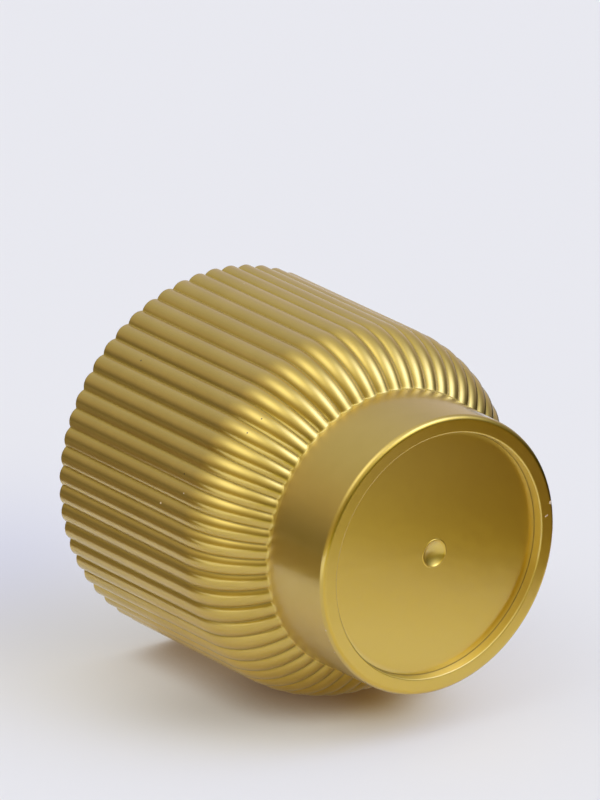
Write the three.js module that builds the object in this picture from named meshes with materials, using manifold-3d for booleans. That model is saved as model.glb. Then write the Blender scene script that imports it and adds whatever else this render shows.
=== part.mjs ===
// A small ribbed plastic cover pot on a smooth foot, with the drained inner pot that stands in it.
// Millimetres, +Z up. The origin is the middle of the ring that the pot stands on.

import * as THREE from 'three';
import { mergeVertices } from 'three/addons/utils/BufferGeometryUtils.js';
import Module from 'manifold-3d';

const wasm = await Module();
wasm.setup();

// Cover pot, outside
const POT_HEIGHT = 90;
const RIM_RADIUS = 47.5; // over the crests of the ribs
const WALL_DRAFT = THREE.MathUtils.degToRad(1.36); // the wall widens towards the rim
const SHOULDER_TOP = 39.5; // height where the wall turns into the shoulder
const SHOULDER_ARC = 22; // radius of the shoulder's curve, over the crests
const FOOT_RADIUS = 34.1; // where the foot's side, carried down, meets the floor
const FOOT_DRAFT = THREE.MathUtils.degToRad(2.2); // the foot widens upwards
const FOOT_EDGE = 1.2; // rounding between the foot's side and its ring

// Ribs: round reeds side by side, with a crest on the X axis
const RIB_COUNT = 60;
const RIB_HEIGHT = 0.9; // crest over valley at the rim, less where the pitch is finer

// Cover pot, underside and inside
const RING_WIDTH = 2.9; // flat ring that the pot stands on
const RECESS_DEPTH = 2.5; // disc inside the ring
const RECESS_CORNER = 0.4;
const GATE_RADIUS = 3.15; // round hollow at the moulding gate
const GATE_DEPTH = 0.9;
const WALL = 1.5; // behind the valleys of the ribs
const FLOOR = 1.5;
const FLOOR_CORNER = 1.5;

// Inner pot
const INNER_DROP = 6; // its rim lies this far below the cover pot's rim
const INNER_WALL = 1.1;
const INNER_FLOOR = 1.3;
const INNER_RIM_WIDTH = 1.4; // how far the lip stands out
const INNER_RIM_HEIGHT = 3;
const INNER_RIM_CLEARANCE = 0.8; // between the lip and the cover pot's wall
const INNER_SIDE_CLEARANCE = 1.6; // between its wall and the inside of the foot
const STANDOFF_HEIGHT = 5; // room for drained water under it
const STANDOFF_COUNT = 4;
const STANDOFF_RADIUS = 2.6;
const STANDOFF_INSET = 5.5; // from the edge of its floor to the middle of a stand-off
const REST_GAP = 0.3; // between a stand-off and the cover pot's floor
const DRAIN_COUNT = 8;
const DRAIN_RADIUS = 2.4;
const DRAIN_CIRCLE = 15.5; // radius of the circle that the drain holes lie on
const CENTRE_DRAIN_RADIUS = 3.2;

// How finely round forms are divided
const COLUMNS_PER_RIB = 4;
const SHOULDER_STEPS = 9;
const EDGE_STEPS = 3;
const FOOT_SIDES = 120;
const INSIDE_SIDES = 72;
const HOLE_SIDES = 20;
const CUT_PAST = 1; // how far a cutter runs past the face that it opens

// Places worked out from the sizes above
const shoulderRadius = RIM_RADIUS - (POT_HEIGHT - SHOULDER_TOP) * Math.tan(WALL_DRAFT);
const shoulderCentre = shoulderRadius - SHOULDER_ARC;
const skin = RIB_HEIGHT + WALL;
const innerArc = SHOULDER_ARC - skin;
const floorTop = RECESS_DEPTH + FLOOR;
const recessRadius = FOOT_RADIUS - FOOT_EDGE - RING_WIDTH;

const footRadius = (z) => FOOT_RADIUS + z * Math.tan(FOOT_DRAFT);
const footInside = (z) => footRadius(z) - WALL;
const wallInside = (z) => shoulderRadius - skin + (z - SHOULDER_TOP) * Math.tan(WALL_DRAFT);

// Points of a round corner from one angle to another, both included
function arc(centreR, centreZ, radius, from, to, steps) {
  const points = [];
  for (let step = 0; step <= steps; step += 1) {
    const angle = from + ((to - from) * step) / steps;
    points.push([centreR + radius * Math.cos(angle), centreZ + radius * Math.sin(angle)]);
  }
  return points;
}

// Closed body of revolution about Z; the outline runs from the axis, up the outside, to the axis
function lathe(outline, sides) {
  const geometry = new THREE.LatheGeometry(outline.map(([r, z]) => new THREE.Vector2(r, z)), sides);
  return geometry.rotateX(Math.PI / 2);
}

// Upright cylinder standing on a given height
function post(radius, bottom, top, x = 0, y = 0) {
  const geometry = new THREE.CylinderGeometry(radius, radius, top - bottom, HOLE_SIDES);
  return geometry.rotateX(Math.PI / 2).translate(x, y, (bottom + top) / 2);
}

// The geometry's merged corners and its triangles, as a solid that can be cut and joined
function solid(geometry) {
  const bare = new THREE.BufferGeometry();
  bare.setAttribute('position', geometry.getAttribute('position'));
  bare.setIndex(geometry.getIndex());
  const merged = mergeVertices(bare, 1e-4);
  const corners = merged.getIndex().array;
  const triangles = [];
  for (let i = 0; i < corners.length; i += 3) {
    const [a, b, c] = [corners[i], corners[i + 1], corners[i + 2]];
    if (a !== b && b !== c && c !== a) triangles.push(a, b, c);
  }
  return new wasm.Manifold(new wasm.Mesh({
    numProp: 3,
    vertProperties: new Float32Array(merged.getAttribute('position').array),
    triVerts: new Uint32Array(triangles),
  }));
}

function meshOf(name, body, material) {
  const { vertProperties, triVerts } = body.getMesh();
  const geometry = new THREE.BufferGeometry();
  geometry.setAttribute('position', new THREE.BufferAttribute(vertProperties, 3));
  geometry.setIndex(new THREE.BufferAttribute(triVerts, 1));
  geometry.computeVertexNormals();
  const mesh = new THREE.Mesh(geometry, material);
  mesh.name = name;
  return mesh;
}

// How far the rib's surface lies below its crest, from 0 at the crest to 1 in the valley
function ribDrop(share, radius) {
  const halfPitch = radius * Math.sin(Math.PI / RIB_COUNT);
  const height = (RIB_HEIGHT * radius) / RIM_RADIUS;
  const reedRadius = (halfPitch ** 2 + height ** 2) / (2 * height);
  return reedRadius - Math.sqrt(reedRadius ** 2 - (share * halfPitch) ** 2);
}

// Straight ribbed wall, and the shoulder that turns in until it is under the foot's side
function ribbedBody() {
  const crests = arc(shoulderCentre, SHOULDER_TOP, SHOULDER_ARC, -Math.PI / 2, 0, SHOULDER_STEPS);
  const outline = [[0, crests[0][1]], ...crests, [RIM_RADIUS, POT_HEIGHT], [0, POT_HEIGHT]];
  const geometry = new THREE.LatheGeometry(
    outline.map(([r, z]) => new THREE.Vector2(r, z)),
    RIB_COUNT * COLUMNS_PER_RIB,
  );
  const position = geometry.getAttribute('position');
  for (let vertex = 0; vertex < position.count; vertex += 1) {
    const row = vertex % outline.length;
    const [radius, height] = outline[row];
    if (radius === 0) continue;
    const column = Math.floor(vertex / outline.length) % COLUMNS_PER_RIB;
    const share = 1 - Math.abs(1 - (2 * column) / COLUMNS_PER_RIB);
    const drop = ribDrop(share, radius);
    const tilt = height < SHOULDER_TOP ? Math.asin((SHOULDER_TOP - height) / SHOULDER_ARC) : 0;
    const shrink = 1 - (drop * Math.cos(tilt)) / radius;
    position.setXYZ(
      vertex,
      position.getX(vertex) * shrink,
      height + drop * Math.sin(tilt),
      position.getZ(vertex) * shrink,
    );
  }
  return solid(geometry.rotateX(Math.PI / 2));
}

function foot() {
  const edge = arc(FOOT_RADIUS - FOOT_EDGE, FOOT_EDGE, FOOT_EDGE, -Math.PI / 2, 0, EDGE_STEPS);
  const outline = [[0, 0], ...edge, [footRadius(SHOULDER_TOP), SHOULDER_TOP], [0, SHOULDER_TOP]];
  return solid(lathe(outline, FOOT_SIDES));
}

// The space in the cover pot: behind the ribs, and down inside the foot
function cavity() {
  const shoulder = arc(shoulderCentre, SHOULDER_TOP, innerArc, -Math.PI / 2, 0, SHOULDER_STEPS);
  const top = POT_HEIGHT + CUT_PAST;
  const body = lathe([[0, shoulder[0][1]], ...shoulder, [wallInside(top), top], [0, top]], INSIDE_SIDES);
  const corner = arc(
    footInside(floorTop) - FLOOR_CORNER,
    floorTop + FLOOR_CORNER,
    FLOOR_CORNER,
    -Math.PI / 2,
    0,
    EDGE_STEPS,
  );
  const well = lathe(
    [[0, floorTop], ...corner, [footInside(SHOULDER_TOP), SHOULDER_TOP], [0, SHOULDER_TOP]],
    INSIDE_SIDES,
  );
  return solid(body).add(solid(well));
}

// Shallow disc in the underside, with a round hollow at the gate
function recess() {
  const ceiling = arc(
    recessRadius - RECESS_CORNER,
    RECESS_DEPTH - RECESS_CORNER,
    RECESS_CORNER,
    0,
    Math.PI / 2,
    EDGE_STEPS,
  );
  const disc = lathe(
    [[0, -CUT_PAST], [recessRadius, -CUT_PAST], ...ceiling, [0, RECESS_DEPTH]],
    INSIDE_SIDES,
  );
  const gateSphere = (GATE_RADIUS ** 2 + GATE_DEPTH ** 2) / (2 * GATE_DEPTH);
  const gateCentre = RECESS_DEPTH + GATE_DEPTH - gateSphere;
  const gateFrom = Math.acos(GATE_RADIUS / gateSphere);
  const dome = arc(0, gateCentre, gateSphere, gateFrom, Math.PI / 2, EDGE_STEPS);
  dome[dome.length - 1][0] = 0;
  const below = RECESS_DEPTH - RECESS_CORNER;
  const hollow = lathe([[0, below], [GATE_RADIUS, below], ...dome], HOLE_SIDES);
  return solid(disc).add(solid(hollow));
}

// Height where the inside of the shoulder meets the inside of the foot
function creaseHeight() {
  let height = floorTop;
  for (let pass = 0; pass < 8; pass += 1) {
    const reach = footInside(height) - shoulderCentre;
    height = SHOULDER_TOP - Math.sqrt(Math.max(innerArc ** 2 - reach ** 2, 0));
  }
  return height;
}

// Tapered inner pot with a lip, drain holes in its floor, and stand-offs under it
function innerPot() {
  const bottom = floorTop + STANDOFF_HEIGHT + REST_GAP;
  const top = POT_HEIGHT - INNER_DROP;
  const lipBottom = top - INNER_RIM_HEIGHT;
  const lipRadius = wallInside(lipBottom) - INNER_RIM_CLEARANCE;
  const wallTop = lipRadius - INNER_RIM_WIDTH;
  const crease = creaseHeight();
  const wallAtCrease = footInside(crease) - INNER_SIDE_CLEARANCE;
  const taper = (wallTop - wallAtCrease) / (lipBottom - crease);
  const wallBottom = Math.min(wallTop - (lipBottom - bottom) * taper, footInside(bottom) - INNER_SIDE_CLEARANCE);
  const slope = (wallTop - wallBottom) / (lipBottom - bottom);
  const inside = (z) => wallBottom - INNER_WALL + (z - bottom) * slope;
  const shell = solid(lathe([
    [0, bottom],
    [wallBottom, bottom],
    [wallTop, lipBottom],
    [lipRadius, lipBottom],
    [lipRadius, top],
    [inside(top), top],
    [inside(bottom + INNER_FLOOR), bottom + INNER_FLOOR],
    [0, bottom + INNER_FLOOR],
  ], INSIDE_SIDES));

  let body = shell;
  const standoffCircle = wallBottom - STANDOFF_INSET;
  for (let i = 0; i < STANDOFF_COUNT; i += 1) {
    const angle = (2 * Math.PI * i) / STANDOFF_COUNT;
    const [x, y] = [standoffCircle * Math.cos(angle), standoffCircle * Math.sin(angle)];
    body = body.add(solid(post(STANDOFF_RADIUS, floorTop + REST_GAP, bottom + INNER_FLOOR / 2, x, y)));
  }
  const [holeFrom, holeTo] = [bottom - CUT_PAST, bottom + INNER_FLOOR + CUT_PAST];
  body = body.subtract(solid(post(CENTRE_DRAIN_RADIUS, holeFrom, holeTo)));
  for (let i = 0; i < DRAIN_COUNT; i += 1) {
    const angle = (2 * Math.PI * (i + 0.5)) / DRAIN_COUNT;
    const [x, y] = [DRAIN_CIRCLE * Math.cos(angle), DRAIN_CIRCLE * Math.sin(angle)];
    body = body.subtract(solid(post(DRAIN_RADIUS, holeFrom, holeTo, x, y)));
  }
  return body;
}

const gold = new THREE.MeshStandardMaterial({ color: 0xb4983f, roughness: 0.42, metalness: 0.75 });
const darkPlastic = new THREE.MeshStandardMaterial({ color: 0x3a3733, roughness: 0.6, metalness: 0 });

const coverPot = ribbedBody().add(foot()).subtract(cavity()).subtract(recess());

const plantPot = new THREE.Group();
plantPot.add(meshOf('cover_pot', coverPot, gold));
plantPot.add(meshOf('inner_pot', innerPot(), darkPlastic));

export default plantPot;
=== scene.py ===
import math

import bpy
import numpy as np
from mathutils import Matrix, Vector


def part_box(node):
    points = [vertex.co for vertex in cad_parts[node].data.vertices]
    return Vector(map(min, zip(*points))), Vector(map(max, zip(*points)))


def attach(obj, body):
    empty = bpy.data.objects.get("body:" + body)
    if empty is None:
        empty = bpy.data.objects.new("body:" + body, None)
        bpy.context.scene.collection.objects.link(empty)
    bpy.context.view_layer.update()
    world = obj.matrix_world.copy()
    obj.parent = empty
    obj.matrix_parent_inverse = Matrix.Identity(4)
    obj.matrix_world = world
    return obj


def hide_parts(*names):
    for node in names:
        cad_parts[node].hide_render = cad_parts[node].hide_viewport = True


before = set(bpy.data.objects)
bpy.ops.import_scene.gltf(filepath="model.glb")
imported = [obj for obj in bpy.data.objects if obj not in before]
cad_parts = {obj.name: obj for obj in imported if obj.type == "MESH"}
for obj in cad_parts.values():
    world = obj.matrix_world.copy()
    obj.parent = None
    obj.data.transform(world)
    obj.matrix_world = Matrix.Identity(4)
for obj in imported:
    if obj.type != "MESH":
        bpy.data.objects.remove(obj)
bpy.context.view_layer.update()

MM = 0.001

# Cover pot, in metres. The rim and the height come from the frame, the rest are the solid's own sizes.
RIM_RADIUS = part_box("cover_pot")[1].x
POT_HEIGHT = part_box("cover_pot")[1].z
WALL_DRAFT = math.radians(1.36)
SHOULDER_TOP = 39.5 * MM
SHOULDER_ARC = 22 * MM
SHOULDER_RADIUS = RIM_RADIUS - (POT_HEIGHT - SHOULDER_TOP) * math.tan(WALL_DRAFT)
SHOULDER_CENTRE = SHOULDER_RADIUS - SHOULDER_ARC
FOOT_RADIUS = 34.1 * MM
FOOT_DRAFT = math.radians(2.2)
FOOT_EDGE = 1.2 * MM
RING_WIDTH = 2.9 * MM
RECESS_DEPTH = 2.5 * MM
RECESS_RADIUS = FOOT_RADIUS - FOOT_EDGE - RING_WIDTH
GATE_RADIUS = 3.15 * MM
GATE_DEPTH = 0.9 * MM
SKIN = 2.4 * MM  # from the crests of the ribs to the inside
FOOT_WALL = 1.5 * MM
FLOOR_TOP = 4 * MM
FLOOR_CORNER = 1.5 * MM
INSIDE_CREASE = 22 * MM  # about how high the inside of the foot meets the inside of the shoulder
RIB_COUNT = 60
RIB_HEIGHT = 0.9 * MM

# Inner pot, in metres. Its lip's radius and height, and where its stand-offs end, come from the frame.
INNER_LIP_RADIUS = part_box("inner_pot")[1].x
INNER_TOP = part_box("inner_pot")[1].z
STANDOFF_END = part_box("inner_pot")[0].z
STANDOFF_HEIGHT = 5 * MM
INNER_BOTTOM = STANDOFF_END + STANDOFF_HEIGHT
INNER_BOTTOM_RADIUS = 29.48 * MM
INNER_WALL = 1.1 * MM
INNER_FLOOR = 1.3 * MM
INNER_LIP_WIDTH = 1.4 * MM
INNER_LIP_HEIGHT = 3 * MM
STANDOFF_COUNT = 4
STANDOFF_RADIUS = 2.6 * MM
STANDOFF_INSET = 5.5 * MM
STANDOFF_CIRCLE = INNER_BOTTOM_RADIUS - STANDOFF_INSET
DRAIN_COUNT = 8
DRAIN_RADIUS = 2.4 * MM
DRAIN_CIRCLE = 15.5 * MM
CENTRE_DRAIN_RADIUS = 3.2 * MM

# Small shapes that the solid leaves sharp or leaves out
VALLEY_FILLET = 0.15 * MM
LIP_FILLET = 0.4 * MM
CREASE_FILLET = 0.35 * MM
RECESS_SLOPE = 0.15 * MM  # how far the recess's wall leans in from the ring to the disc
RECESS_FOOT = RECESS_RADIUS - RECESS_SLOPE
RECESS_EDGE = 0.42 * MM
RECESS_CORNER = 0.14 * MM
GATE_BURR_WIDTH = 0.4 * MM
GATE_BURR_HEIGHT = 0.1 * MM
INNER_LIP_EDGE = 0.45 * MM
INNER_CORNER = 1.2 * MM
STANDOFF_EDGE = 0.5 * MM
HOLE_EDGE = 0.2 * MM
HOLE_EDGE_STEPS = 3
HOLE_ANGLE = math.radians(50)  # edges of the inner pot sharper than this are rounded
SHARP_ANGLE = math.radians(35)  # and what is still sharper than this is shaded as an edge

# How finely the outlines are divided. Rib columns run from crest to valley, closer together where the
# valley is rounded. The outermost points of a straight run lie as close to its ends as HOLD says.
RIB_SHARES = (0, 0.18, 0.36, 0.54, 0.7, 0.84, 0.943, 0.975)
HOLD = 0.06 * MM
GATE_STEPS = 12
BURR_STEPS = 3
DISC_STEPS = 7
CORNER_STEPS = 4
EDGE_STEPS = 5
RECESS_WALL_STEPS = 2
RING_STEPS = 2
FOOT_EDGE_STEPS = 7
FOOT_STEPS = 6
CREASE_STEPS = 3
SHOULDER_STEPS = 22
WALL_STEPS = 9
INSIDE_WALL_STEPS = 6
INSIDE_SHOULDER_STEPS = 14
INSIDE_FOOT_STEPS = 4
INSIDE_FLOOR_STEPS = 5
INNER_CORNER_STEPS = 6
INNER_WALL_STEPS = 12
INNER_INSIDE_STEPS = 14
INNER_SIDES = 144
STANDOFF_SIDES = 32
DRAIN_SIDES = 32
CENTRE_DRAIN_SIDES = 40

# The search for the crease above the foot: it lies between these turns of the shoulder, in degrees
CREASE_TURNS = (20.0, 85.0)
CREASE_HALVINGS = 40

# How the pot lies in the photograph, and where the camera is. The middle of the pot's base lies at the
# camera's distance, to the right of what the camera points at and below it.
LIE_TILT = math.radians(1.36)
FLOOR_AZIMUTH = math.radians(-45)  # the photograph's floor faces this way, seen from the pot's axis
CAMERA_ELEVATION = math.radians(17.66)
AXIS_HEADING = math.radians(35.91)  # the pot's axis runs away from the camera and this far to its left
CAMERA_DISTANCE = 962.7 * MM
BASE_RIGHT = 32.75 * MM
BASE_DOWN = 36.41 * MM
FOCAL_PX = 4144.0
PHOTO_LONG_PX = 800
SENSOR = 36.0  # in mm, along the photograph's longer side
CLIP_START = 0.05
CLIP_END = 20

# Floors. The lying pot touches the sheet with the sheen, and the paper lies just under that. The
# photograph's floor reaches twice as far away as to the sides.
FLOOR_HALF = 1.2
SHEEN_LIFT = 0.1 * MM
UNDER_FOOT_GAP = 0.02 * MM

# What reflections find on the photograph's floor: the paper itself within the gap round the pot, and
# elsewhere a dim studio with these patches of light. Each has where it starts and ends to the right and
# away, and its colour.
SHEEN_EDGES = (0.02, 0.04)
SHEEN_REACH = (-1.2, 1.2, -1.2, 1.6)
SHEEN_GAP = (-0.16, 0.10, -0.25, 1.6)
SHEEN = {
    "under_the_wall": (-0.09, 0.02, 0.0, 0.11, (0.11, 0.085, 0.04)),
    "by_the_foot": (0.02, 0.06, -0.12, 0.02, (0.08, 0.14, 0.36)),
    "right_near": (0.10, 0.20, -0.25, -0.05, (0.51, 0.50, 0.43)),
    "right_beside": (0.10, 0.20, -0.05, 0.10, (0.21, 0.14, 0.06)),
    "right_front": (0.20, 1.2, -0.25, -0.05, (0.32, 0.22, 0.03)),
    "left_near": (-1.2, -0.16, -0.25, -0.05, (1.24, 1.31, 1.42)),
    "left_beside": (-1.2, -0.16, -0.05, 0.10, (0.25, 0.18, 0.10)),
    "left_far": (-1.2, -0.16, 0.10, 1.6, (0.28, 0.25, 0.17)),
    "front_left": (-1.2, -0.12, -1.2, -0.25, (1.60, 1.75, 1.95)),
    "front_middle": (-0.12, 0.12, -1.2, -0.25, (0.82, 0.80, 0.25)),
}

# The paper's colour as the lights find it, and the base colour and the glow that the camera sees. What the
# camera sees carries a painted contact shadow close to the pot, from the pot out to where the paper is as
# open as NEAR_CLEAR says.
PAPER = (0.82, 0.79, 0.71)
PAPER_SEEN = (0.49, 0.50, 0.485)
PAPER_GLOW = (0.335, 0.310, 0.290)
PAPER_CONTACT_SHADOW = (0.50, 0.38, 0.24)
NEAR_REACH = 12 * MM
NEAR_CLEAR = 0.8
NEAR_SAMPLES = 12
WHITE = (1, 1, 1)

# Painted shadows on the photograph's floor, for the camera only: the middle to the right and away, the
# spread in both directions, and the tint. Where the tint is above 1, as beside the foot, it is painted
# light.
SHADES = {
    "beside_the_shoulder": (-0.050, 0.018, 0.025, 0.018, (0.76, 0.74, 0.71)),
    "far_left": (-0.115, 0.115, 0.038, 0.065, (0.87, 0.88, 0.96)),
    "light_beside_the_foot": (0.006, 0.024, 0.030, 0.040, (1.08, 1.07, 1.03)),
    "under_the_shoulder": (-0.030, 0.038, 0.012, 0.010, (0.22, 0.10, 0.05)),
    "under_the_foot": (-0.016, 0.026, 0.012, 0.015, (0.64, 0.50, 0.26)),
}

# Soft lights: azimuth from straight away towards the right, elevation and width in degrees, and colour.
# The two named backdrop stand for the pale backdrop in the paint's reflections, where it is dimmer and
# warmer than the BACKDROP that the camera sees.
SOFT_LIGHTS = {
    "key": (106, 47.6, 17, (2.42, 2.76, 4.0)),
    "key_core": (106, 47.6, 9, (0.0, 0.15, 1.8)),
    "key_low": (123, 28.3, 12.9, (0.61, 0.62, 0.50)),
    "front_high": (165, 40, 18, (0.45, 0.40, 0.25)),
    "overhead": (-128, 62.3, 16.7, (1.80, 1.90, 2.02)),
    "backdrop": (-15, 59.4, 34.7, (0.67, 0.67, 0.70)),
    "backdrop_low": (17, 0, 21.9, (0.51, 0.41, 0.29)),
    "left": (-85, 26.1, 13.6, (0.367, 0.29, 0.20)),
    "front_low": (-141, 0, 25.7, (0.48, 0.35, 0.09)),
}
BACKDROP = (0.80, 0.79, 0.83)

# Gold paint. Between the ribs it is darker, a painted shade, and less metallic, and the lacquer ends there.
# In the corners it is paler, a painted sheen, and rougher and less metallic. The underside's gold is
# brighter and more orange, painted light. The lacquer ends on the corner's line of painted shade too. The
# runs say at which depths between two ribs the darker paint sets in and the lacquer ends.
GOLD_DEEP = (0.59, 0.410, 0.058)
GOLD_LIGHT = (0.63, 0.442, 0.074)
# A brighter, more orange copy of the gold for the ring, the recess and the gate: painted light on the
# underside
GOLD_UNDERSIDE_PAINTED_LIGHT = (0.70, 0.465, 0.036)
GOLD_ROUGHNESS = 0.30
GOLD_ROUGHNESS_SPREAD = 0.01
# Darker paint deep between the ribs: painted shade in the valleys
GOLD_VALLEY_SHADE = (0.44, 0.312, 0.055)
VALLEY_METAL = 0.25
VALLEY_RUN = (0.75, 1.0)
# Paler paint in the recess's wall, the border of the disc, the crease above the foot and the gate's hollow:
# a painted sheen in these corners
GOLD_CORNER_SHEEN = (0.77, 0.57, 0.10)
CORNER_ROUGHNESS = 0.38
CORNER_METAL = 0.55
# A dark line where the disc meets the recess's wall: painted shade in that corner
CORNER_SHADE_LINE = (0.38, 0.25, 0.04)
LACQUER = 1.0
LACQUER_ROUGHNESS = 0.12
LACQUER_IOR = 1.58
LACQUER_RUN = (0.6, 0.95)
BARE_PLASTIC = (0.75, 0.58, 0.36)
# Dark colour inside the pits: painted shade where the paint has a hole
PIT_SHADE = (0.10, 0.07, 0.02)
NO_LOWER_END = -1 * MM  # every radius and every height of the pot lies above this

# Noise in the paint: how fine it is and how much detail it has. A run is the part of its values used.
SPRAY = (70, 3)
SPRAY_RUN = (0.3, 0.7)
FLAKES = (3200, 2)
FLAKE_RUN = (0.25, 0.75)
FLAKE_RELIEF = 0.4
PEEL = (1100, 2)
PEEL_STRENGTH = 0.04
PEEL_HEIGHT = 0.02 * MM
WAVES = (260, 2)
WAVE_STRENGTH = 1.0
WAVE_HEIGHT = 0.05 * MM

# Specks strewn over the paint. Most cells of their pattern hold none, and chance says which do.
SPECK_SCALE = 160
SPECK_SIZE = (0.02, 0.045)
PINHOLE_ABOVE = 0.93
NIB_BELOW = 0.05
NIB_WEAR = 0.6

# Marks in the paint: azimuth in degrees, radius and height in mm, and how far the mark reaches, also in mm
CHIPS = {
    "ring_edge": (33.2, 33.3, 0.1, 0.62),
    "ring_face": (38.2, 31.9, 0.0, 0.24),
    "ring_face_middle": (38.4, 31.6, 0.0, 0.22),
    "ring_face_end": (38.5, 31.3, 0.0, 0.22),
    "wall": (-125.3, 46.5, 48.5, 0.36),
    "wall_low": (-119.5, 46.3, 40.7, 0.26),
    "foot_edge": (-154.9, 34.15, 1.2, 0.28),
    "foot_edge_middle": (-160.2, 34.15, 1.4, 0.22),
    "foot_edge_end": (-166.6, 34.16, 1.66, 0.28),
}
PITS = {
    "shoulder": (-89.4, 43.8, 29.4, 0.24),
    "shoulder_left": (-95.3, 44.2, 30.3, 0.26),
}
MARK_CORE = 0.6
MARK_RAGGEDNESS = 0.2 * MM
RAGGED = (6000, 2)

# Charcoal plastic of the inner pot
CHARCOAL_DEEP = (0.040, 0.038, 0.036)
CHARCOAL_LIGHT = (0.058, 0.055, 0.052)
CHARCOAL_ROUGHNESS = (0.5, 0.62)
CHARCOAL_RUN = (0.3, 0.7)
CLOUD = (90, 3)
GRAIN = (2400, 3, 0.6)
GRAIN_STRENGTH = 0.35
GRAIN_HEIGHT = 0.03 * MM


def foot_radius(z):
    return FOOT_RADIUS + z * math.tan(FOOT_DRAFT)


def arc(centre, radius, start, end, steps):
    """Points of a round corner in (radius, height), both ends included; angles in degrees."""
    points = []
    for step in range(steps + 1):
        angle = math.radians(start + (end - start) * step / steps)
        points.append((centre[0] + radius * math.cos(angle), centre[1] + radius * math.sin(angle)))
    return points


def along(start, end, share):
    return tuple(a + (b - a) * share for a, b in zip(start, end))


def line(start, end, steps):
    """Points between start and end. The outermost lie close to the ends, which keeps the shading crisp."""
    hold = min(HOLD / math.dist(start, end), 0.5 / steps)
    shares = [hold, *[step / steps for step in range(1, steps)], 1 - hold]
    return [along(start, end, share) for share in shares]


def bend(start, corner, end, steps):
    """A curve from start to end that leans into the corner, both ends included."""
    points = []
    for step in range(steps + 1):
        t = step / steps
        weights = ((1 - t) ** 2, 2 * t * (1 - t), t ** 2)
        points.append(tuple(sum(w * p[k] for w, p in zip(weights, (start, corner, end))) for k in (0, 1)))
    return points


def rib_drop(share, radius):
    """How far the rib's surface lies below its crest: a round reed, and a small fillet in the valley."""
    half_pitch = radius * math.sin(math.pi / RIB_COUNT)
    height = RIB_HEIGHT * radius / RIM_RADIUS
    both = (half_pitch ** 2 + height ** 2) / (2 * height)
    reed = both - VALLEY_FILLET
    across = share * half_pitch
    if across < half_pitch * reed / both:
        return reed - math.sqrt(reed ** 2 - across ** 2)
    fillet_centre = math.sqrt(both ** 2 - half_pitch ** 2)
    return reed - fillet_centre + math.sqrt(VALLEY_FILLET ** 2 - (half_pitch - across) ** 2)


def shoulder_point(share, turn):
    """A point of the ribbed shoulder, turn degrees below the place where the wall ends."""
    angle = math.radians(turn)
    radius = SHOULDER_CENTRE + SHOULDER_ARC * math.cos(angle)
    reach = SHOULDER_ARC - rib_drop(share, radius)
    return (SHOULDER_CENTRE + reach * math.cos(angle), SHOULDER_TOP - reach * math.sin(angle))


def crease_turn(share):
    """The turn at which this line of a rib meets the side of the foot."""
    low, high = CREASE_TURNS
    for _ in range(CREASE_HALVINGS):
        middle = (low + high) / 2
        r, z = shoulder_point(share, middle)
        if r > foot_radius(z):
            low = middle
        else:
            high = middle
    return low


def underside():
    """Outline of the underside from its middle: the gate's hollow and burr, the disc, its wall, the ring.

    The same for every line of a rib, because the ribs end above the foot."""
    below = RECESS_DEPTH
    ball = (GATE_RADIUS ** 2 + GATE_DEPTH ** 2) / (2 * GATE_DEPTH)
    rim_angle = math.degrees(math.acos(GATE_RADIUS / ball))
    hollow = arc((0, below + GATE_DEPTH - ball), ball, 90, rim_angle, GATE_STEPS)[1:]
    burr_top = (GATE_RADIUS + GATE_BURR_WIDTH / 2, below - GATE_BURR_HEIGHT)
    lip_in = (GATE_RADIUS + GATE_BURR_WIDTH, below)
    points = [*hollow, *bend(hollow[-1], (GATE_RADIUS, burr_top[1]), burr_top, BURR_STEPS)[1:]]
    points += bend(burr_top, (lip_in[0], burr_top[1]), lip_in, BURR_STEPS)[1:]

    corner = (RECESS_FOOT, below)
    edge = (RECESS_RADIUS, 0)
    slope = math.dist(corner, edge)
    corner_in = (corner[0] - RECESS_CORNER, below)
    wall_in = along(corner, edge, RECESS_CORNER / slope)
    wall_out = along(edge, corner, RECESS_EDGE / slope)
    ring_in = (RECESS_RADIUS + RECESS_EDGE, 0)
    points += [*line(lip_in, corner_in, DISC_STEPS), *bend(corner_in, corner, wall_in, CORNER_STEPS)]
    points += [*line(wall_in, wall_out, RECESS_WALL_STEPS), *bend(wall_out, edge, ring_in, EDGE_STEPS)]
    return [*points, *line(ring_in, (FOOT_RADIUS - FOOT_EDGE, 0), RING_STEPS)]


def outside(share):
    """Outline of the cover pot from the middle of its underside to the rim's top, on one line of a rib."""
    foot_edge = arc((FOOT_RADIUS - FOOT_EDGE, FOOT_EDGE), FOOT_EDGE, -90, 0, FOOT_EDGE_STEPS)
    side_low = (foot_radius(FOOT_EDGE), FOOT_EDGE)
    points = [*underside(), *foot_edge[:-1], side_low]

    turn = crease_turn(share)
    meet = shoulder_point(share, turn)
    per_turn = math.degrees(CREASE_FILLET / SHOULDER_ARC)
    side_high = (foot_radius(meet[1] - CREASE_FILLET), meet[1] - CREASE_FILLET)
    shoulder_low = shoulder_point(share, turn - per_turn)
    points += [*line(side_low, side_high, FOOT_STEPS), *bend(side_high, meet, shoulder_low, CREASE_STEPS)]
    turns = np.linspace(turn - per_turn, 0, SHOULDER_STEPS + 1)[1:]
    points += [shoulder_point(share, t) for t in turns]

    wall_low = points[-1]
    wall_high = (RIM_RADIUS - rib_drop(share, RIM_RADIUS), POT_HEIGHT)
    lean = (wall_high[0] - wall_low[0]) / (wall_high[1] - wall_low[1])
    wall_end = (wall_high[0] - LIP_FILLET * lean, POT_HEIGHT - LIP_FILLET)
    points += line(wall_low, wall_end, WALL_STEPS)
    points += bend(wall_end, wall_high, (wall_high[0] - LIP_FILLET, POT_HEIGHT), CORNER_STEPS)
    return points


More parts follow.
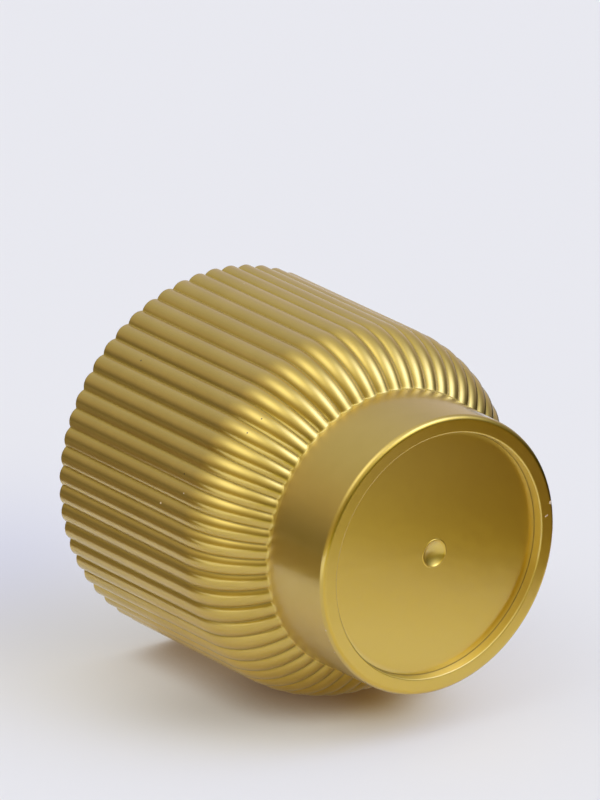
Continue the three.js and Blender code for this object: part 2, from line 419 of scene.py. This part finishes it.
def inside():
    """Outline of the cover pot's inside, from the rim's top to the middle of its floor."""
    lean = math.tan(WALL_DRAFT)
    rim_inside = RIM_RADIUS - SKIN
    lip = bend(
        (rim_inside + LIP_FILLET, POT_HEIGHT),
        (rim_inside, POT_HEIGHT),
        (rim_inside - LIP_FILLET * lean, POT_HEIGHT - LIP_FILLET),
        CORNER_STEPS,
    )
    reach = SHOULDER_ARC - SKIN
    foot_inside = foot_radius(INSIDE_CREASE) - FOOT_WALL
    last = math.degrees(math.acos((foot_inside - SHOULDER_CENTRE) / reach))
    shoulder = arc((SHOULDER_CENTRE, SHOULDER_TOP), reach, 0, -last, INSIDE_SHOULDER_STEPS)
    corner_centre = (foot_radius(FLOOR_TOP) - FOOT_WALL - FLOOR_CORNER, FLOOR_TOP + FLOOR_CORNER)
    corner = arc(corner_centre, FLOOR_CORNER, 0, -90, EDGE_STEPS)
    return [
        *lip,
        *line(lip[-1], shoulder[0], INSIDE_WALL_STEPS),
        *shoulder,
        *line(shoulder[-1], corner[0], INSIDE_FOOT_STEPS),
        *corner,
        *line(corner[-1], (0, FLOOR_TOP), INSIDE_FLOOR_STEPS),
    ]


def revolve(name, columns, first_pole, last_pole):
    """A closed skin from one outline of (radius, height) per angle, with a point on the axis at each end."""
    rows = len(columns[0][1])
    verts = []
    for angle, outline in columns:
        verts += [(r * math.cos(angle), r * math.sin(angle), z) for r, z in outline]
    start, end = len(verts), len(verts) + 1
    verts += [(0, 0, first_pole), (0, 0, last_pole)]
    walls = []
    caps = []
    for column in range(len(columns)):
        here, there = column * rows, (column + 1) % len(columns) * rows
        for row in range(rows - 1):
            walls.append((here + row, there + row, there + row + 1, here + row + 1))
        caps.append((start, there, here))
        caps.append((end, here + rows - 1, there + rows - 1))
    mesh = bpy.data.meshes.new(name)
    mesh.from_pydata(verts, [], walls + caps)
    mesh.shade_smooth()
    mesh.update()
    obj = bpy.data.objects.new(name, mesh)
    bpy.context.scene.collection.objects.link(obj)
    return obj


def cover_pot():
    """The ribbed pot in one skin. Its groove attribute says how deep each point lies between two ribs."""
    outlines = {share: [*outside(share), *inside()] for share in (*RIB_SHARES, 1)}
    shares = [*RIB_SHARES, *reversed((*RIB_SHARES[1:], 1))]
    columns = []
    grooves = []
    for rib in range(RIB_COUNT):
        for place, share in enumerate(shares):
            across = share / 2 if place < len(RIB_SHARES) else 1 - share / 2
            columns.append((2 * math.pi * (rib + across) / RIB_COUNT, outlines[share]))
            grooves += [groove_depth(crest, point) for crest, point in zip(outlines[0], outlines[share])]
    skin = revolve("cover_pot_skin", columns, RECESS_DEPTH + GATE_DEPTH, FLOOR_TOP)
    skin.data.attributes.new("groove", "FLOAT", "POINT").data.foreach_set("value", [*grooves, 0, 0])
    return skin


def groove_depth(crest, point):
    """How deep a point lies between two ribs, from 0 at the crest to 1 at the bottom of the valley."""
    if abs(point[0] - foot_radius(point[1])) < HOLD:
        return 0  # the foot's side has no ribs
    return min(math.dist(crest, point) * RIM_RADIUS / (RIB_HEIGHT * max(point[0], MM)), 1)


def inner_outline():
    """Outline of the inner pot from the middle of its underside over the lip to the middle of its floor."""
    lip_bottom = INNER_TOP - INNER_LIP_HEIGHT
    wall_top = INNER_LIP_RADIUS - INNER_LIP_WIDTH
    lean = (wall_top - INNER_BOTTOM_RADIUS) / (lip_bottom - INNER_BOTTOM)
    floor_top = INNER_BOTTOM + INNER_FLOOR

    def outer(z):
        return INNER_BOTTOM_RADIUS + (z - INNER_BOTTOM) * lean

    def inner(z):
        return outer(z) - INNER_WALL

    edge = INNER_LIP_EDGE
    corner = INNER_CORNER
    low = bend(
        (INNER_BOTTOM_RADIUS - corner, INNER_BOTTOM),
        (INNER_BOTTOM_RADIUS, INNER_BOTTOM),
        (outer(INNER_BOTTOM + corner), INNER_BOTTOM + corner),
        INNER_CORNER_STEPS,
    )
    under_lip = bend(
        (outer(lip_bottom - edge), lip_bottom - edge),
        (wall_top, lip_bottom),
        (wall_top + edge, lip_bottom),
        CORNER_STEPS,
    )
    lip_low = arc((INNER_LIP_RADIUS - edge, lip_bottom + edge), edge, -90, 0, EDGE_STEPS)
    lip_high = arc((INNER_LIP_RADIUS - edge, INNER_TOP - edge), edge, 0, 90, EDGE_STEPS)
    mouth = bend(
        (inner(INNER_TOP) + edge, INNER_TOP),
        (inner(INNER_TOP), INNER_TOP),
        (inner(INNER_TOP - edge), INNER_TOP - edge),
        EDGE_STEPS,
    )
    base = bend(
        (inner(floor_top + corner), floor_top + corner),
        (inner(floor_top), floor_top),
        (inner(floor_top) - corner, floor_top),
        INNER_CORNER_STEPS,
    )
    return [
        *low,
        *line(low[-1], under_lip[0], INNER_WALL_STEPS),
        *under_lip,
        *lip_low,
        *lip_high,
        *mouth,
        *line(mouth[-1], base[0], INNER_INSIDE_STEPS),
        *base,
    ]


def around(outline, sides):
    return [(2 * math.pi * side / sides, outline) for side in range(sides)]


def spread_round(radius, count, first=0.0):
    """Places spread evenly round a circle. They begin at first, in parts of the step between them."""
    angles = [2 * math.pi * (i + first) / count for i in range(count)]
    return [(radius * math.cos(angle), radius * math.sin(angle)) for angle in angles]


def post(name, radius, bottom, top, sides, x=0.0, y=0.0, edge=0.0):
    """An upright round post, with its lower edge rounded where it has one."""
    low = arc((radius - edge, bottom + edge), edge, -90, 0, CORNER_STEPS) if edge else [(radius, bottom)]
    obj = revolve(name, around([*low, (radius, top)], sides), bottom, top)
    obj.data.transform(Matrix.Translation((x, y, 0)))
    return obj


def combine(body, others, operation):
    """Cut the others from the body or join them to it, and take them out of the scene."""
    for other in others:
        step = body.modifiers.new(operation, "BOOLEAN")
        step.operation = operation
        step.solver = "EXACT"
        step.object = other
    apply_modifiers(body)
    for other in others:
        bpy.data.objects.remove(other)


def apply_modifiers(obj):
    bpy.context.view_layer.update()
    done = bpy.data.meshes.new_from_object(obj.evaluated_get(bpy.context.evaluated_depsgraph_get()))
    old = obj.data
    obj.modifiers.clear()
    obj.data = done
    bpy.data.meshes.remove(old)


def inner_pot():
    """The lift-out pot: tapered wall and lip, with drain holes in its floor and stand-offs under it."""
    wall = around(inner_outline(), INNER_SIDES)
    body = revolve("inner_pot_skin", wall, INNER_BOTTOM, INNER_BOTTOM + INNER_FLOOR)
    top = INNER_BOTTOM + INNER_FLOOR / 2
    standoffs = []
    for x, y in spread_round(STANDOFF_CIRCLE, STANDOFF_COUNT):
        foot = post("standoff", STANDOFF_RADIUS, STANDOFF_END, top, STANDOFF_SIDES, x, y, STANDOFF_EDGE)
        standoffs.append(foot)
    combine(body, standoffs, "UNION")
    low, high = INNER_BOTTOM - MM, INNER_BOTTOM + INNER_FLOOR + MM
    drains = [post("drain", CENTRE_DRAIN_RADIUS, low, high, CENTRE_DRAIN_SIDES)]
    for x, y in spread_round(DRAIN_CIRCLE, DRAIN_COUNT, first=0.5):
        drains.append(post("drain", DRAIN_RADIUS, low, high, DRAIN_SIDES, x, y))
    combine(body, drains, "DIFFERENCE")
    rounding = body.modifiers.new("rounding", "BEVEL")
    rounding.width = HOLE_EDGE
    rounding.segments = HOLE_EDGE_STEPS
    rounding.limit_method = "ANGLE"
    rounding.angle_limit = HOLE_ANGLE
    apply_modifiers(body)
    body.data.set_sharp_from_angle(angle=SHARP_ANGLE)
    return body


class Nodes:
    """Short calls that add a node, set its inputs from values or other nodes, and give back an output."""

    # The Mix node has sockets of the same name for every kind of value. These belong to colours.
    MIX_INPUTS = (0, 6, 7)
    MIX_OUTPUT = 2

    def __init__(self, tree):
        self.tree = tree

    def put(self, socket, value):
        if isinstance(value, bpy.types.NodeSocket):
            self.tree.links.new(value, socket)
        else:
            socket.default_value = value

    def add(self, kind, inputs=(), output=0, **settings):
        node = self.tree.nodes.new("ShaderNode" + kind)
        for key, value in settings.items():
            setattr(node, key, value)
        for key, value in dict(inputs).items():
            self.put(node.inputs[key], value)
        return node.outputs[output]

    def show(self, surface):
        self.put(self.tree.nodes["Material Output"].inputs["Surface"], surface)

    def math(self, operation, *values):
        return self.add("Math", dict(enumerate(values)), operation=operation)

    def vector(self, operation, *values, output="Vector"):
        return self.add("VectorMath", dict(enumerate(values)), output, operation=operation)

    def noise(self, place, scale, detail, roughness=0.5):
        inputs = {"Vector": place, "Scale": scale, "Detail": detail, "Roughness": roughness}
        return self.add("TexNoise", inputs)

    def mix(self, share, first, second):
        """The first colour where the share is 0, and the second where it is 1."""
        colours = [(*colour, 1) if isinstance(colour, tuple) else colour for colour in (first, second)]
        return self.add("Mix", zip(self.MIX_INPUTS, (share, *colours)), self.MIX_OUTPUT, data_type="RGBA")

    def ramp(self, value, low, high, bottom=0.0, top=1.0):
        """The value's run from low to high, laid smoothly on the run from bottom to top."""
        inputs = {"Value": value, "From Min": low, "From Max": high, "To Min": bottom, "To Max": top}
        return self.add("MapRange", inputs, interpolation_type="SMOOTHSTEP")

    def window(self, value, low, high, edge):
        """1 where the value lies between low and high, and 0 outside, with soft edges."""
        rise = self.ramp(value, low - edge, low + edge)
        return self.math("MULTIPLY", rise, self.ramp(value, high - edge, high + edge, 1.0, 0.0))

    def both(self, first, first_window, second, second_window):
        """1 where both values lie in their windows, each given as low, high and edge, and 0 outside."""
        return self.math("MULTIPLY", self.window(first, *first_window), self.window(second, *second_window))


def new_material(name):
    material = bpy.data.materials.new(name)
    material.use_nodes = True
    return material, Nodes(material.node_tree), material.node_tree.nodes["Principled BSDF"]


def corner_sheen_places():
    """Where paler paint is a painted sheen in corners and recesses: the window of radius, the window of
    height, and how strong it is.
    """
    disc = RECESS_DEPTH
    crease_low = shoulder_point(0, crease_turn(0))[1]
    crease_high = shoulder_point(1, crease_turn(1))[1]
    return {
        "recess_wall": (
            (RECESS_FOOT - 0.1 * MM, RECESS_RADIUS + 0.3 * MM, 0.05 * MM),
            (0.05 * MM, disc + 0.2 * MM, 0.05 * MM),
            1.0,
        ),
        "border_of_the_disc": (
            (RECESS_FOOT - 0.9 * MM, RECESS_RADIUS, 0.5 * MM),
            (disc - 0.2 * MM, disc + MM, 0.05 * MM),
            0.7,
        ),
        "crease_above_the_foot": (
            (foot_radius(0), foot_radius(crease_high) + 0.3 * MM, 0.15 * MM),
            (crease_low - 0.8 * MM, crease_high + 0.2 * MM, 0.15 * MM),
            0.5,
        ),
        "hollow_of_the_gate": (
            (NO_LOWER_END, GATE_RADIUS - 0.25 * MM, 0.25 * MM),
            (disc + 0.1 * MM, disc + MM, 0.05 * MM),
            0.35,
        ),
    }


def corner_sheen(nodes, out, height):
    """How strongly the painted sheen of the corners lies at each radius and height."""
    sheen_share = 0.0
    for radii, heights, sheen_strength in corner_sheen_places().values():
        here = nodes.math("MULTIPLY", nodes.both(out, radii, height, heights), sheen_strength)
        sheen_share = nodes.math("MAXIMUM", sheen_share, here)
    return sheen_share


def on_the_underside(nodes, out, height):
    """1 on the ring, the recess and the gate, and 0 on the foot's side and inside the pot."""
    soft = 0.2 * MM
    radii = (NO_LOWER_END, FOOT_RADIUS - 0.4 * MM, soft)
    return nodes.both(out, radii, height, (NO_LOWER_END, FLOOR_TOP - 0.6 * MM, soft))


def on_the_shade_line(nodes, out, height):
    """1 on the thin line where the disc meets the recess's wall, which is painted dark as shade in that
    corner.
    """
    soft = 0.08 * MM
    radii = (RECESS_FOOT - 0.22 * MM, RECESS_FOOT + 0.1 * MM, soft)
    return nodes.both(out, radii, height, (RECESS_DEPTH - 0.16 * MM, RECESS_DEPTH + MM, soft))


def flaws(nodes, place):
    """Where the paint has a pit, painted dark as the shade inside it, and how far it is worn to the plastic:
    strewn specks and single marks.
    """
    distance = nodes.add("TexVoronoi", {"Vector": place, "Scale": SPECK_SCALE}, "Distance")
    chance = nodes.add("SeparateColor", {"Color": distance.node.outputs["Color"]}, "Red")
    dot = nodes.ramp(distance, *SPECK_SIZE, 1.0, 0.0)
    pinholes = nodes.math("MULTIPLY", dot, nodes.math("GREATER_THAN", chance, PINHOLE_ABOVE))
    nibs = nodes.math("MULTIPLY", dot, nodes.math("LESS_THAN", chance, NIB_BELOW))
    shaded_pits = nodes.math("MAXIMUM", pinholes, marks(nodes, place, PITS))
    chips = nodes.math("MAXIMUM", nodes.math("MULTIPLY", nibs, NIB_WEAR), marks(nodes, place, CHIPS))
    return shaded_pits, chips


def marks(nodes, place, places):
    """1 within each mark's reach and 0 elsewhere, with a slightly ragged edge."""
    noise = nodes.noise(place, *RAGGED)
    ragged = nodes.math("MULTIPLY_ADD", noise, MARK_RAGGEDNESS, -MARK_RAGGEDNESS / 2)
    found = 0.0
    for azimuth, radius, height, reach in places.values():
        angle = math.radians(azimuth)
        centre = (radius * MM * math.cos(angle), radius * MM * math.sin(angle), height * MM)
        apart = nodes.math("ADD", nodes.vector("DISTANCE", place, centre, output="Value"), ragged)
        mark = nodes.ramp(apart, MARK_CORE * reach * MM, reach * MM, 1.0, 0.0)
        found = nodes.math("MAXIMUM", found, mark)
    return found


def paint_relief(nodes, place, flakes):
    """Fine orange peel and the flakes' own relief, on slightly wider waves."""
    waves = {"Strength": WAVE_STRENGTH, "Distance": WAVE_HEIGHT, "Height": nodes.noise(place, *WAVES)}
    uneven = nodes.add("Bump", waves)
    relief = nodes.math("ADD", nodes.noise(place, *PEEL), nodes.math("MULTIPLY", flakes, FLAKE_RELIEF))
    peel = {"Strength": PEEL_STRENGTH, "Distance": PEEL_HEIGHT, "Height": relief, "Normal": uneven}
    return nodes.add("Bump", peel)


def gold_paint():
    """Satin metallic gold under a lacquer, with uneven spray, flakes and wear, and painted light and shade.
    """
    material, nodes, shader = new_material("gold_paint")
    place = nodes.add("TexCoord", output="Object")
    out = nodes.vector("LENGTH", nodes.vector("MULTIPLY", place, (1, 1, 0)), output="Value")
    height = nodes.add("SeparateXYZ", {"Vector": place}, "Z")
    groove = nodes.add("Attribute", output="Fac", attribute_name="groove")
    valley = nodes.ramp(groove, *VALLEY_RUN)
    sheen_share = corner_sheen(nodes, out, height)
    shade_line = on_the_shade_line(nodes, out, height)
    shaded_pits, chips = flaws(nodes, place)

    spray = nodes.ramp(nodes.noise(place, *SPRAY), *SPRAY_RUN)
    colour = nodes.mix(spray, GOLD_DEEP, GOLD_LIGHT)
    layers = (
        # painted light: the brighter, more orange gold of the underside
        (on_the_underside(nodes, out, height), GOLD_UNDERSIDE_PAINTED_LIGHT),
        # painted shade: the darker paint between the ribs
        (valley, GOLD_VALLEY_SHADE),
        # painted sheen: the paler paint in the corners
        (sheen_share, GOLD_CORNER_SHEEN),
        # painted shade: the dark line in the recess's corner
        (shade_line, CORNER_SHADE_LINE),
        # painted shade inside the pits
        (shaded_pits, PIT_SHADE),
        (chips, BARE_PLASTIC),
    )
    for share, paint in layers:
        colour = nodes.mix(share, colour, paint)
    nodes.put(shader.inputs["Base Color"], colour)

    flakes = nodes.noise(place, *FLAKES)
    spread = GOLD_ROUGHNESS_SPREAD
    satin = nodes.ramp(flakes, *FLAKE_RUN, GOLD_ROUGHNESS - spread, GOLD_ROUGHNESS + spread)
    rougher = nodes.math("MULTIPLY", sheen_share, CORNER_ROUGHNESS - GOLD_ROUGHNESS)
    nodes.put(shader.inputs["Roughness"], nodes.math("ADD", satin, rougher))
    dull_corner = nodes.math("MULTIPLY", sheen_share, 1 - CORNER_METAL)
    dull_valley = nodes.math("MULTIPLY", valley, 1 - VALLEY_METAL)
    dull = nodes.math("MAXIMUM", chips, nodes.math("MAXIMUM", dull_corner, dull_valley))
    nodes.put(shader.inputs["Metallic"], nodes.math("SUBTRACT", 1.0, dull))

    without = nodes.math("MAXIMUM", nodes.ramp(groove, *LACQUER_RUN), shade_line)
    nodes.put(shader.inputs["Coat Weight"], nodes.math("SUBTRACT", LACQUER, without))
    nodes.put(shader.inputs["Coat Roughness"], LACQUER_ROUGHNESS)
    nodes.put(shader.inputs["Coat IOR"], LACQUER_IOR)
    nodes.put(shader.inputs["Normal"], paint_relief(nodes, place, flakes))
    return material


def charcoal_plastic():
    """Matt moulded polypropylene with a fine spark-eroded grain."""
    material, nodes, shader = new_material("charcoal_plastic")
    place = nodes.add("TexCoord", output="Object")
    cloud = nodes.ramp(nodes.noise(place, *CLOUD), *CHARCOAL_RUN)
    grain = nodes.noise(place, *GRAIN)
    nodes.put(shader.inputs["Base Color"], nodes.mix(cloud, CHARCOAL_DEEP, CHARCOAL_LIGHT))
    nodes.put(shader.inputs["Roughness"], nodes.ramp(grain, *CHARCOAL_RUN, *CHARCOAL_ROUGHNESS))
    relief = {"Strength": GRAIN_STRENGTH, "Distance": GRAIN_HEIGHT, "Height": grain}
    nodes.put(shader.inputs["Normal"], nodes.add("Bump", relief))
    return material


def studio_axes():
    """Right, away and up of the photograph's floor as seen by the camera, in the row frame."""
    up = Vector((
        math.cos(LIE_TILT) * math.cos(FLOOR_AZIMUTH),
        math.cos(LIE_TILT) * math.sin(FLOOR_AZIMUTH),
        math.sin(LIE_TILT),
    ))
    flat_axis = (Vector((0, 0, 1)) - up * up.z).normalized()  # the pot's axis laid flat on the floor
    across = flat_axis.cross(up)
    away = flat_axis * math.cos(AXIS_HEADING) + across * math.sin(AXIS_HEADING)
    return away.cross(up), away, up


def place_camera():
    """The camera that sees the pot as the photograph does."""
    right, away, up = studio_axes()
    forward = away * math.cos(CAMERA_ELEVATION) - up * math.sin(CAMERA_ELEVATION)
    top = right.cross(forward)
    eye = -(forward * CAMERA_DISTANCE + right * BASE_RIGHT - top * BASE_DOWN)
    data = bpy.data.cameras.new("camera")
    data.sensor_width = SENSOR
    data.lens = FOCAL_PX * SENSOR / PHOTO_LONG_PX
    data.clip_start = CLIP_START
    data.clip_end = CLIP_END
    camera = bpy.data.objects.new("camera", data)
    turn = Matrix((right, top, -forward)).transposed()
    camera.matrix_world = Matrix.Translation(eye) @ turn.to_4x4()
    bpy.context.scene.collection.objects.link(camera)
    bpy.context.scene.camera = camera


def sheet_of(name, corners, material, hidden_from=()):
    """A flat sheet that belongs to the stage. It can be hidden from some kinds of rays."""
    mesh = bpy.data.meshes.new(name)
    mesh.from_pydata(corners, [], [(0, 1, 2, 3)])
    mesh.materials.append(material)
    obj = bpy.data.objects.new(name, mesh)
    bpy.context.scene.collection.objects.link(obj)
    for kind in hidden_from:
        setattr(obj, "visible_" + kind, False)
    return obj


def floor_place(nodes):
    """How far a point lies to the right of the middle of the pot's base, and how far away from it."""
    right, away, _ = studio_axes()
    place = nodes.add("TexCoord", output="Object")
    return [nodes.vector("DOT_PRODUCT", place, axis, output="Value") for axis in (right, away)]


def shaded(nodes, tint, shades):
    """The tint with every painted shadow and painted light laid over it. Each is deepest in its middle and
    falls off around it.
    """
    aside, ahead = floor_place(nodes)
    for x, y, spread_x, spread_y, colour in shades:
        apart = 0.0
        for value, middle, spread in ((aside, x, spread_x), (ahead, y, spread_y)):
            step = nodes.math("DIVIDE", nodes.math("SUBTRACT", value, middle), spread)
            apart = nodes.math("MULTIPLY_ADD", step, step, apart)
        share = nodes.math("EXPONENT", nodes.math("MULTIPLY", apart, -1))
        tint = nodes.vector("MULTIPLY", tint, nodes.mix(share, WHITE, colour))
    return tint


def floor_paper(name, shades=()):
    """Matt white paper, brighter for the camera than for the lights, with a painted contact shadow close to
    the pot, and painted shadows and painted light where they are given. It shows from its front only, so
    that it hides nothing from a camera behind it."""
    material, nodes, shader = new_material(name)
    camera_ray = nodes.add("LightPath", output="Is Camera Ray")
    open_share = nodes.add("AmbientOcclusion", {"Distance": NEAR_REACH}, "AO", samples=NEAR_SAMPLES)
    # painted contact shadow: the paper darkens and browns close to the pot
    tint = nodes.mix(nodes.ramp(open_share, 0.0, NEAR_CLEAR), PAPER_CONTACT_SHADOW, WHITE)
    if shades:
        tint = shaded(nodes, tint, shades)
    seen = nodes.vector("MULTIPLY", tint, PAPER_SEEN)
    nodes.put(shader.inputs["Base Color"], nodes.mix(camera_ray, PAPER, seen))
    nodes.put(shader.inputs["Emission Strength"], camera_ray)
    nodes.put(shader.inputs["Emission Color"], nodes.vector("MULTIPLY", tint, PAPER_GLOW))
    nodes.put(shader.inputs["Roughness"], 1)
    nodes.put(shader.inputs["Specular IOR Level"], 0)
    back = nodes.add("NewGeometry", output="Backfacing")
    clear = nodes.add("BsdfTransparent")
    nodes.show(nodes.add("MixShader", {0: back, 1: shader.outputs["BSDF"], 2: clear}))
    return material


def floor_sheen():
    """The soft-edged light of SHEEN, clear in the gap round the pot."""
    material, nodes, _ = new_material("floor_sheen")
    aside, ahead = floor_place(nodes)
    edge_aside, edge_ahead = SHEEN_EDGES

    def within(left, right, near, far):
        return nodes.both(aside, (left, right, edge_aside), ahead, (near, far, edge_ahead))

    light = (0, 0, 0)
    for *sides, colour in SHEEN.values():
        light = nodes.vector("MULTIPLY_ADD", within(*sides), colour, light)
    cover = nodes.math("SUBTRACT", within(*SHEEN_REACH), within(*SHEEN_GAP))
    clear = nodes.add("BsdfTransparent", {"Color": nodes.math("SUBTRACT", 1.0, cover)})
    nodes.show(nodes.add("AddShader", {0: clear, 1: nodes.add("Emission", {"Color": light})}))
    return material


def place_floors():
    """The floor that the pot lies on in the photograph, and one under its foot for when it stands."""
    right, away, up = studio_axes()
    two_ribs = RIM_RADIUS * math.cos(math.pi / RIB_COUNT)  # the lying pot rests on two ribs side by side
    ground = -up * (two_ribs * math.cos(LIE_TILT) - POT_HEIGHT * math.sin(LIE_TILT))
    half = FLOOR_HALF
    places = ((-half, -half), (half, -half), (half, 2 * half), (-half, 2 * half))
    corners = [ground + right * x + away * y for x, y in places]
    paper = sheet_of("floor", corners, floor_paper("floor_paper", SHADES.values()))
    paper.location = -up * SHEEN_LIFT
    sheet_of("floor_sheen", corners, floor_sheen(), ("camera", "diffuse", "shadow"))

    corners = [(-half, -half, 0), (half, -half, 0), (half, half, 0), (-half, half, 0)]
    plain_paper = floor_paper("floor_paper_under_foot")
    all_but_camera = ("diffuse", "glossy", "transmission", "shadow")
    under_foot = sheet_of("floor_under_foot", corners, plain_paper, all_but_camera)
    under_foot.location.z = -UNDER_FOOT_GAP


def light_the_studio():
    """Soft lights as smooth patches of sky: each is brightest in one direction and falls off around it."""
    right, away, up = studio_axes()
    world = bpy.data.worlds.new("studio")
    world.use_nodes = True
    nodes = Nodes(world.node_tree)
    background = world.node_tree.nodes["Background"]
    seen = nodes.add("TexCoord", output="Generated")
    sky = (0, 0, 0)
    for azimuth, elevation, width, colour in SOFT_LIGHTS.values():
        a, e = math.radians(azimuth), math.radians(elevation)
        towards = (right * math.sin(a) + away * math.cos(a)) * math.cos(e) + up * math.sin(e)
        facing = nodes.vector("DOT_PRODUCT", seen, towards, output="Value")
        tightness = 1 / math.radians(width) ** 2
        apart = nodes.math("MULTIPLY", nodes.math("SUBTRACT", facing, 1.0), tightness)
        sky = nodes.vector("MULTIPLY_ADD", nodes.math("EXPONENT", apart), colour, sky)
    camera_ray = nodes.add("LightPath", output="Is Camera Ray")
    nodes.put(background.inputs["Color"], nodes.mix(camera_ray, sky, BACKDROP))
    bpy.context.scene.world = world


pot = cover_pot()
pot.data.materials.append(gold_paint())
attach(pot, "cover_pot")
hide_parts("cover_pot")

inner = inner_pot()
inner.data.materials.append(charcoal_plastic())
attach(inner, "inner_pot")
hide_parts("inner_pot")

place_camera()
place_floors()
light_the_studio()
bpy.context.scene.view_settings.view_transform = "Standard"
